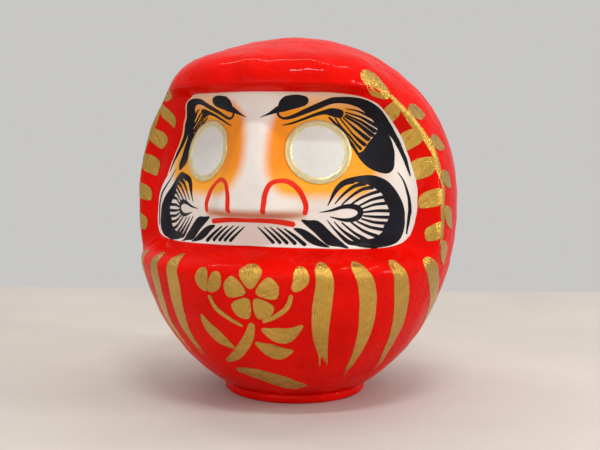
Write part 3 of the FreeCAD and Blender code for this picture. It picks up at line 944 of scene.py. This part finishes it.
def plain_paint(name, colour, scale, rough, rougher,
                specular=0.35, grain=0.5, tone=0.92, depth=0.00012):
    """Matte paint or paper with an uneven tone."""
    done = Finish(name, Specular_IOR_Level=specular)
    height, mask = done.group("Paper Unevenness", done.coordinates(), Scale=scale, Grain=grain)
    done.feed("Base Color", done.mix(mask, shade(colour, tone), colour))
    done.feed("Roughness", ranged(done.tree, height, 0.4, 1.0, rough, rougher))
    done.bump(height, depth)
    return done.material


# ---- Pieces ----

def body_rows():
    """Heights of the rows, in mm, closer together where the shape turns sharply."""
    heights = []
    starts = [max(start, BODY_BASE_Z) for start, count in ROW_BANDS] + [BANDS_END_Z]
    for number, (start, count) in enumerate(ROW_BANDS):
        span = starts[number + 1] - starts[number]
        heights += [starts[number] + span * step / count for step in range(count)]
    left = 1.0 - np.arange(CROWN_ROWS) / CROWN_ROWS
    return np.concatenate([heights, HEIGHT - (HEIGHT - BANDS_END_Z) * left ** 2])


def sheet_faces(rows, columns, first, inside):
    """Quads of one grid sheet and the triangles that close it in its pole."""
    faces = []
    pole = first + rows * columns
    for i in range(rows):
        for j in range(columns - 1):
            low = first + i * columns + j
            if i < rows - 1:
                face = (low, low + 1, low + 1 + columns, low + columns)
            else:
                face = (low, low + 1, pole)
            faces.append(face[::-1] if inside else face)
    return faces


def half_body(name, side):
    """Closed half shell of the body: outer sheet, inner sheet and the edges between them."""
    azimuth = math.pi * (np.arange(COLUMNS) / (COLUMNS - 1) - 0.5 + side)
    heights = body_rows()
    points, outward = [], []
    for inset in (0.0, WALL):
        squeeze = (HEIGHT - inset - BODY_BASE_Z) / (HEIGHT - BODY_BASE_Z)
        rows = BODY_BASE_Z + (heights - BODY_BASE_Z) * squeeze
        angles, levels = np.meshgrid(azimuth, rows)
        points.append(body_point(angles, levels, inset).reshape(-1, 3))
        points.append(np.array([[0.0, 0.0, (HEIGHT - inset) * MM]]))
        outward.append(body_outward(angles, levels).reshape(-1, 3))
        outward.append(np.array([[0.0, 0.0, 1.0]]))
    rows, columns = len(heights), COLUMNS
    inner = rows * columns + 1
    faces = sheet_faces(rows, columns, 0, False) + sheet_faces(rows, columns, inner, True)
    for j in range(columns - 1):
        faces.append((j + 1, j, inner + j, inner + j + 1))
    for i in range(rows):
        last = i == rows - 1
        low_start, low_end = i * columns, (i + 1) * columns - 1
        top_start = rows * columns if last else low_start + columns
        top_end = rows * columns if last else low_end + columns
        faces.append((low_start, top_start, inner + top_start, inner + low_start))
        faces.append((low_end, inner + low_end, inner + top_end, top_end))
    piece = new_object(name, np.concatenate(points), faces)
    set_attribute(piece, "outward", "FLOAT_VECTOR", np.concatenate(outward))
    set_attribute(piece, "lump_share", "FLOAT", [1.0] * inner + [0.0] * inner)
    return piece


def lay_target(halves):
    """One hidden mesh of both halves, which the brush marks are thrown at."""
    points, faces, outward = [], [], []
    for half in halves:
        first = len(points)
        points += [tuple(v.co) for v in half.data.vertices]
        faces += [tuple(first + i for i in p.vertices) for p in half.data.polygons]
        outward += [tuple(d.vector) for d in half.data.attributes["outward"].data]
    target = new_object("throwing_target", points, faces)
    set_attribute(target, "outward", "FLOAT_VECTOR", outward)
    return target


class DARUMA_OT_body(bpy.types.Operator):
    """Mould the two paper half shells and the hidden target for the brush marks"""

    bl_idname = "daruma.body"
    bl_label = "Paper Body"

    def execute(self, context):
        sizes, colours = context.scene.daruma_sizes, context.scene.daruma_colours
        paper_group()
        streak_group()
        paint_tree()
        lumps = lump_tree()
        red = vermilion(colours)
        halves = []
        names = (("front_body", "shell_front"), ("rear_body", "shell_rear"))
        for number, (name, node) in enumerate(names):
            half = half_body(name, number)
            apply_tree(half, lumps, {"Lump Height": sizes.lump_height, "Lump Size": sizes.lump_size,
                                     "Seed": 3.0, "Material": red})
            halves.append(half)
            declare(half, "red_lacquer", node)
        target = lay_target(halves)
        target.hide_render = True
        return {"FINISHED"}


class DARUMA_OT_foot(bpy.types.Operator):
    """Turn the clay foot and finish the hidden paper pieces"""

    bl_idname = "daruma.foot"
    bl_label = "Clay Foot"

    def execute(self, context):
        sizes, colours = context.scene.daruma_sizes, context.scene.daruma_colours
        radius = FOOT_HIGH[0] / MM
        paper_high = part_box("base_paper")[1]
        hole = paper_high[0] / MM + 0.3
        recess = paper_high[2] / MM
        rim = [(3.0, 0.0), (1.6, 0.05), (0.7, 0.5), (0.15, 1.3), (0.0, 2.4), (0.1, 3.6), (0.6, 4.6),
               (1.4, 5.2), (1.9, BODY_BASE_Z), (4.0, BODY_BASE_Z + 0.1), (5.0, BODY_BASE_Z + 4.0)]
        profile = [(0.0, recess + 0.2), (hole * 0.6, recess + 0.2), (hole, recess + 0.2),
                   (hole, 0.5), (hole + 0.5, 0.0), *((radius - inward, z) for inward, z in rim),
                   (10.0, BODY_BASE_Z + 4.6), (0.0, BODY_BASE_Z + 4.6)]
        rings = spline(profile, 0.8)
        turns = 200
        points, outward = [], []
        for r, z in rings[1:-1]:
            for k in range(turns):
                a = 2.0 * math.pi * k / turns
                points.append((r * math.cos(a) * MM, r * math.sin(a) * MM, max(z, 0.0) * MM))
                outward.append((math.cos(a), math.sin(a), 0.0))
        faces = [(i * turns + k, (i * turns) + (k + 1) % turns, (i + 1) * turns + (k + 1) % turns,
                  (i + 1) * turns + k) for i in range(len(rings) - 3) for k in range(turns)]
        faces.append(tuple(range(turns))[::-1])
        faces.append(tuple((len(rings) - 3) * turns + k for k in range(turns)))
        foot = new_object("clay_foot", points, faces)
        set_attribute(foot, "outward", "FLOAT_VECTOR", outward)
        outer = (radius - 2.0) * MM
        share = [float(0.4 * MM < z < 5.0 * MM and math.hypot(x, y) > outer) for x, y, z in points]
        set_attribute(foot, "lump_share", "FLOAT", share)
        apply_tree(foot, bpy.data.node_groups["Paper Lumps"],
                   {"Lump Height": sizes.lump_height * 0.7, "Lump Size": sizes.lump_size * 0.8,
                    "Seed": 8.0, "Material": bpy.data.materials["Vermilion Gloss"]})
        declare(foot, "red_foot", "foot_weight")
        paper = plain_paint("Bare Paper", colours.paper, 600.0, 0.75, 0.87)
        for node in ("base_paper", "seam_strip"):
            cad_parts[node].data.materials.clear()
            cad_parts[node].data.materials.append(paper)
        return {"FINISHED"}


def airbrush(piece):
    """Store the airbrushed areas of the face and its painted shade as attributes, from the flat
    drawing's places.
    """
    places = np.array([tuple(v.co) for v in piece.data.vertices]) / MM
    angle = np.degrees(np.arctan2(places[:, 0], -places[:, 1]))
    side = np.abs(angle)
    z = places[:, 2]
    # the blush: a soft superellipse round each eye, sprayed wider on the doll's right side
    middle = np.where(angle > 0.0, *BLUSH_AZIMUTHS)
    half = np.where(angle > 0.0, *BLUSH_HALF_WIDTHS)
    reach = ((np.abs(side - middle) / half) ** BLUSH_SQUARENESS
             + (np.abs(z - BLUSH_Z) / BLUSH_HALF_HEIGHT) ** BLUSH_SQUARENESS)
    orange = blend((1.22 - reach) / 0.62)
    # it thins out above the loop of the brow and towards the outer top
    top = np.clip((z - 141.0) / 8.0, 0.0, 1.0) * np.clip((side - 8.0) / 8.0, 0.0, 1.0)
    orange = orange * (1.0 - 0.65 * top)
    outer = np.clip((side - 45.0) / 16.0, 0.0, 1.0) * np.clip((z - 126.0) / 14.0, 0.0, 1.0)
    orange = orange * (1.0 - outer)
    # a streak of it runs out between brow and beard
    streak = np.exp(-((z - 113.5) / 5.0) ** 2)
    streak = streak * blend((64.0 - side) / 16.0) * blend((side - 30.0) / 10.0)
    orange = np.maximum(orange, 0.9 * streak)
    # under the eye it stops above the whorl, and by the nose it ends on the nostril
    low = blend((z - 97.5) / 9.0)
    orange = orange * low
    deep = blend((24.0 - side) / 12.0) * blend((z - 106.0) / 12.0)
    # a tan band on the nose's underside: airbrushed tan, and painted shade where the underside
    # faces down
    under_nose = np.exp(-((z - 94.0) / 2.1) ** 2) * blend((25.0 - side) / 5.0)
    # painted shade: a faint tan darkening of the face just under the hood's overhang
    hood_shade = 0.075 * blend((z - 143.0) / 7.0)
    set_attribute(piece, "orange", "FLOAT", orange)
    set_attribute(piece, "deep_orange", "FLOAT", deep)
    # the tan attribute holds both: the nose's airbrush with its painted shade, and the painted
    # shade under the hood
    set_attribute(piece, "tan", "FLOAT", np.maximum(0.85 * under_nose, hood_shade))


class DARUMA_OT_face(bpy.types.Operator):
    """Lay the white ground with its airbrushed colours and painted shade"""

    bl_idname = "daruma.face"
    bl_label = "Face Ground"

    def execute(self, context):
        sizes, colours = context.scene.daruma_sizes, context.scene.daruma_colours
        half = spline(flat(FACE_OUTLINE, FACE_DRUM), 1.0)
        outline = [tuple(p) for p in half] + mirrored([tuple(p) for p in half[1:-1]])
        points, faces = filled([outline], sizes.mesh_step / MM * 0.8)
        ground = thrown("face_ground", points, faces, FACE_DRUM, sizes.face_coat)
        airbrush(ground)
        lay(ground, face_ground(colours), 0.0003)
        declare(ground, "face_white", "face_coat")
        return {"FINISHED"}


class DARUMA_OT_brushwork(bpy.types.Operator):
    """Lay the black brows, beard and moustache and the red lines of the nostrils and mouth"""

    bl_idname = "daruma.brushwork"
    bl_label = "Face Brushwork"

    def execute(self, context):
        sizes, colours = context.scene.daruma_sizes, context.scene.daruma_colours
        black = brush_black(colours)
        red = plain_paint("Line Red", colours.line_red, 700.0, 0.35, 0.5,
                          specular=0.15, grain=0.4, tone=0.9, depth=0.0001)
        lift = sizes.face_coat + sizes.ink
        step = sizes.mesh_step / MM
        groups = {
            "brow": ([BROW_DOT, BROW_MASS], BROW_STROKES + BROW_HAIRS),
            "beard": ([BEARD_MASS], BEARD_HAIRS + BEARD_STROKES),
            "moustache": (MOUSTACHE_SLABS, MOUSTACHE_HAIRS),
        }
        for title, (patches, strokes) in groups.items():
            outlines = [patch_outline(p, FACE_DRUM) for p in patches]
            outlines += [stroke_outline(s, FACE_DRUM) for s in strokes]
            for side in ("left", "right"):
                drawn = outlines if side == "left" else [mirrored(o) for o in outlines]
                points, faces = filled(drawn, step)
                piece = thrown(f"{title}_{side}", points, faces, FACE_DRUM, lift)
                lay(piece, black)
                declare(piece, "face_white")
        nostril = stroke_outline(NOSTRIL, FACE_DRUM)
        lines = {"nostril_left": nostril, "nostril_right": mirrored(nostril),
                 "mouth": stroke_outline(MOUTH, FACE_DRUM)}
        for title, outline in lines.items():
            points, faces = filled([outline], step * 0.6)
            piece = thrown(title, points, faces, FACE_DRUM, lift)
            lay(piece, red)
            declare(piece, "face_white")
        return {"FINISHED"}


def eye_piece(name, sign, rings, lifts):
    """Round piece thrown along an eye's axis. rings are radii in mm, lifts metres for each."""
    look = Vector(eye_look(sign))
    across = Vector((-look.y, look.x, 0.0)).normalized()
    upward = look.cross(across)
    centre = Vector((EYE_CENTRE[0] * sign, EYE_CENTRE[1], EYE_CENTRE[2])) * MM + look * 0.03
    turns = 96
    points, lift = [], []
    for r, up in zip(rings, lifts):
        for k in range(turns if r > 0 else 1):
            a = 2.0 * math.pi * k / turns
            spoke = across * EYE_STRETCH * math.cos(a) + upward * math.sin(a)
            points.append(centre + spoke * r * MM)
            lift.append(up)
    faces = []
    first = 0
    if rings[0] == 0:
        faces = [(0, 1 + k, 1 + (k + 1) % turns) for k in range(turns)]
        first = 1
    for ring in range(len(rings) - 1 - first):
        low = first + ring * turns
        faces += [(low + k, low + turns + k, low + turns + (k + 1) % turns, low + (k + 1) % turns)
                  for k in range(turns)]
    piece = new_object(name, points, faces)
    set_attribute(piece, "throw", "FLOAT_VECTOR", [tuple(-look)] * len(points))
    set_attribute(piece, "lift", "FLOAT", lift)
    return piece


class DARUMA_OT_eyes(bpy.types.Operator):
    """Lay the blank raised eyes and their gold rings"""

    bl_idname = "daruma.eyes"
    bl_label = "Eyes"

    def execute(self, context):
        sizes, colours = context.scene.daruma_sizes, context.scene.daruma_colours
        white = plain_paint("Eye White", colours.eye, 420.0, 0.45, 0.57)
        gold = ring_gold(colours)
        steps = 14
        edge = sizes.face_coat + 0.0004
        for side, sign in (("left", 1.0), ("right", -1.0)):
            rings = [(EYE_WHITE_RADIUS + 0.4) * k / steps for k in range(steps + 1)]
            rise = sizes.eye_dome - edge
            lifts = [edge + rise * (1.0 - (k / steps) ** 2) for k in range(steps + 1)]
            disc = eye_piece(f"eye_disc_{side}", sign, rings, lifts)
            lay(disc, white, 0.0)
            declare(disc, "eye_white", f"eye_white_{side}")
            lanes = 8
            width = EYE_RING_RADIUS - EYE_WHITE_RADIUS
            rings = [EYE_WHITE_RADIUS + width * k / lanes for k in range(lanes + 1)]
            lifts = [edge + 0.0001 + 0.0004 * math.sin(math.pi * k / lanes) ** 0.6
                     for k in range(lanes + 1)]
            ring = eye_piece(f"eye_rim_{side}", sign, rings, lifts)
            layer = ring.data.uv_layers.new(name="brush")
            turns = len(ring.data.vertices) // (lanes + 1)
            for face in ring.data.polygons:
                spots = [(v // turns, v % turns) for v in face.vertices]
                wraps = max(k for _, k in spots) - min(k for _, k in spots) > 1
                for loop, (lane, k) in zip(face.loop_indices, spots):
                    k = k + turns if wraps and k == 0 else k
                    run = 2.0 * math.pi * EYE_RING_RADIUS * k / turns
                    layer.data[loop].uv = (width * lane / lanes * MM, run * MM)
            lay(ring, gold, 0.0)
            declare(ring, "gold_paint", f"eye_ring_{side}")
        return {"FINISHED"}


def gold_piece(name, strokes, drum, lift, step):
    """Several gold strokes joined as one piece, each a little above the one before."""
    points, faces, brush, lifts = [], [], [], []
    for number, stroke in enumerate(strokes):
        found, quads, coordinates = ribbon(stroke, drum, step)
        first = len(points)
        points += found
        faces += [tuple(first + i for i in q) for q in quads]
        brush += [(u, v + 0.05 * number) for u, v in coordinates]
        lifts += [lift + 0.000015 * number] * len(found)
    piece = thrown(name, points, faces, drum, np.array(lifts))
    set_brush(piece, brush)
    lay(piece, bpy.data.materials["Gold Brush"])
    declare(piece, "gold_paint")


def dry_tails(fold, number):
    """Thin strokes that the bristles leave as the brush lifts off at the end of a fold."""
    (start_azimuth, start_z, _), (azimuth, z, width) = fold[-2:]
    slope = (azimuth - start_azimuth) / (start_z - z)
    tails = []
    for bristle in range(4):
        offset = math.degrees((bristle / 3.0 - 0.5) * 0.8 * width / BODY_DRUM)
        length = 4.0 + 2.5 * math.sin(2.3 * bristle + 1.7 * number)
        tails.append([(azimuth + offset - slope * 3.0, z + 3.0, 1.4),
                      (azimuth + offset, z, 1.3),
                      (azimuth + offset * 1.1 + slope * length, z - length, 0.5)])
    return tails


class DARUMA_OT_robe(bpy.types.Operator):
    """Lay the gold folds of the robe round the belly"""

    bl_idname = "daruma.robe"
    bl_label = "Gold Robe Folds"

    def execute(self, context):
        sizes, colours = context.scene.daruma_sizes, context.scene.daruma_colours
        gold_brush(colours)
        step = sizes.mesh_step / MM
        for side, folds in (("left", ROBE_FOLDS_LEFT), ("right", ROBE_FOLDS_RIGHT)):
            for number, fold in enumerate(folds, 1):
                strokes = [fold, *dry_tails(fold, number)]
                gold_piece(f"robe_fold_{side}_{number}", strokes, BODY_DRUM, sizes.ink * 1.5, step)
        return {"FINISHED"}


def spray_strokes():
    """Strokes of the blossom spray as (azimuth, height, width)."""
    strokes = list(SPRAY_STROKES)
    x, z = BLOSSOM_CENTRE
    for petal in range(5):
        angle = math.radians(90.0 + 72.0 * petal)
        strokes.append([(x + r * math.cos(angle), z + r * math.sin(angle), w) for r, w in PETAL])
    return [[(SPRAY_AZIMUTH + math.degrees(x / BODY_DRUM), SPRAY_Z + z, w * SPRAY_BRUSH)
             for x, z, w in stroke] for stroke in strokes]


def vine_strokes():
    """Strokes of one vine: its stem, its top leaf and the leaves on both sides of it."""
    middle, side, _, _ = brush_path(flat(VINE_STEM, BODY_DRUM), 0.5)
    strokes = [VINE_STEM, VINE_TOP_LEAF]
    for number in range(VINE_LEAVES):
        k = int(len(middle) * (number + 0.6) / VINE_LEAVES)
        turn = 1.0 if number % 2 else -1.0
        out = side[k] * turn
        ahead = np.array([out[1], -out[0]]) * turn
        length = 14.5 + 1.5 * math.sin(2.1 * number) - (3.0 if turn < 0.0 else 0.0)
        leaf = []
        for share, width in ((0.0, 1.6), (0.35, 6.4), (0.7, 7.2), (1.0, 1.0)):
            point = middle[k] + (out * share * 0.8 + ahead * share * (0.25 + 0.45 * share)) * length
            leaf.append((math.degrees(point[0] / BODY_DRUM), point[1], width))
        strokes.append(leaf)
    return strokes


class DARUMA_OT_ornament(bpy.types.Operator):
    """Lay the gold blossom spray on the belly and the vines down both sides of the hood"""

    bl_idname = "daruma.ornament"
    bl_label = "Gold Ornament"

    def execute(self, context):
        sizes = context.scene.daruma_sizes
        step = sizes.mesh_step / MM
        gold_piece("blossom_spray", spray_strokes(), BODY_DRUM, sizes.ink * 1.5, step)
        vine = vine_strokes()
        gold_piece("vine_left", vine, BODY_DRUM, sizes.ink * 1.5, step)
        mirror = [[(-p[0], *p[1:]) for p in stroke] for stroke in vine]
        gold_piece("vine_right", mirror, BODY_DRUM, sizes.ink * 1.5, step)
        return {"FINISHED"}


class DARUMA_OT_stage(bpy.types.Operator):
    """Set the pale floor, the soft lights and the camera"""

    bl_idname = "daruma.stage"
    bl_label = "Floor, Lights and Camera"

    def execute(self, context):
        sizes, colours = context.scene.daruma_sizes, context.scene.daruma_colours
        scene = context.scene
        eye = Vector(CAMERA_PLACE)
        back = Vector((-eye.x, -eye.y, 0.0)).normalized()
        side = Vector((back.y, -back.x, 0.0))
        corners = [side * across + back * depth for across, depth in FLOOR_CORNERS]
        floor = new_object("floor", corners, [(0, 1, 2, 3)])
        floor.data.materials.append(plain_paint("Pale Floor", colours.floor, 60.0, 0.6, 0.72))
        world = bpy.data.worlds.new("Soft Room")
        world.use_nodes = True
        background = world.node_tree.nodes["Background"]
        background.inputs["Color"].default_value = ROOM_COLOUR
        background.inputs["Strength"].default_value = ROOM_STRENGTH
        scene.world = world
        for name, place, aim, (across, along), power, coolness in LIGHTS:
            lamp = bpy.data.lights.new(name, "AREA")
            lamp.color = (1.0, coolness, coolness ** 2)
            lamp.shape = "RECTANGLE"
            lamp.size = across
            lamp.size_y = along
            lamp.energy = power
            holder = bpy.data.objects.new(name, lamp)
            holder.location = place
            holder.rotation_mode = "QUATERNION"
            holder.rotation_quaternion = (Vector(aim) - Vector(place)).to_track_quat("-Z", "Y")
            scene.collection.objects.link(holder)
        lens = bpy.data.cameras.new("view")
        lens.lens = sizes.lens
        lens.sensor_width = SENSOR_WIDTH
        lens.clip_start = 0.01
        camera = bpy.data.objects.new("view", lens)
        pan = Matrix.Rotation(math.radians(CAMERA_PAN), 3, "Z")
        look = pan @ (Vector(CAMERA_AIM) - eye).normalized()
        roll = Matrix.Rotation(math.radians(CAMERA_ROLL), 3, "Z")
        turn = look.to_track_quat("-Z", "Y").to_matrix() @ roll
        camera.matrix_world = Matrix.Translation(eye) @ turn.to_4x4()
        scene.collection.objects.link(camera)
        scene.camera = camera
        scene.view_settings.view_transform = "Standard"
        return {"FINISHED"}


class DARUMA_PT_panel(bpy.types.Panel):
    """Buttons that build the doll, in order."""

    bl_idname = "DARUMA_PT_panel"
    bl_label = "Daruma Doll"
    bl_space_type = "VIEW_3D"
    bl_region_type = "UI"
    bl_category = "Daruma"

    def draw(self, context):
        for group in (context.scene.daruma_sizes, context.scene.daruma_colours):
            for name in group.__annotations__:
                self.layout.prop(group, name)
        for operator in OPERATORS:
            self.layout.operator(operator.bl_idname)


OPERATORS = (DARUMA_OT_body, DARUMA_OT_foot, DARUMA_OT_face, DARUMA_OT_brushwork,
             DARUMA_OT_robe, DARUMA_OT_ornament, DARUMA_OT_eyes, DARUMA_OT_stage)
GROUPS = (("daruma_sizes", DARUMA_PG_sizes), ("daruma_colours", DARUMA_PG_colours))


def register():
    for name, group in GROUPS:
        bpy.utils.register_class(group)
        setattr(bpy.types.Scene, name, PointerProperty(type=group))
    for item in (*OPERATORS, DARUMA_PT_panel):
        bpy.utils.register_class(item)


def unregister():
    for item in (DARUMA_PT_panel, *reversed(OPERATORS)):
        bpy.utils.unregister_class(item)
    for name, group in reversed(GROUPS):
        delattr(bpy.types.Scene, name)
        bpy.utils.unregister_class(group)


def main():
    """Build everything."""
    register()
    for operator in OPERATORS:
        group, name = operator.bl_idname.split(".")
        getattr(getattr(bpy.ops, group), name)()
    bpy.data.objects.remove(bpy.data.objects["throwing_target"])


if __name__ == "__main__":
    main()
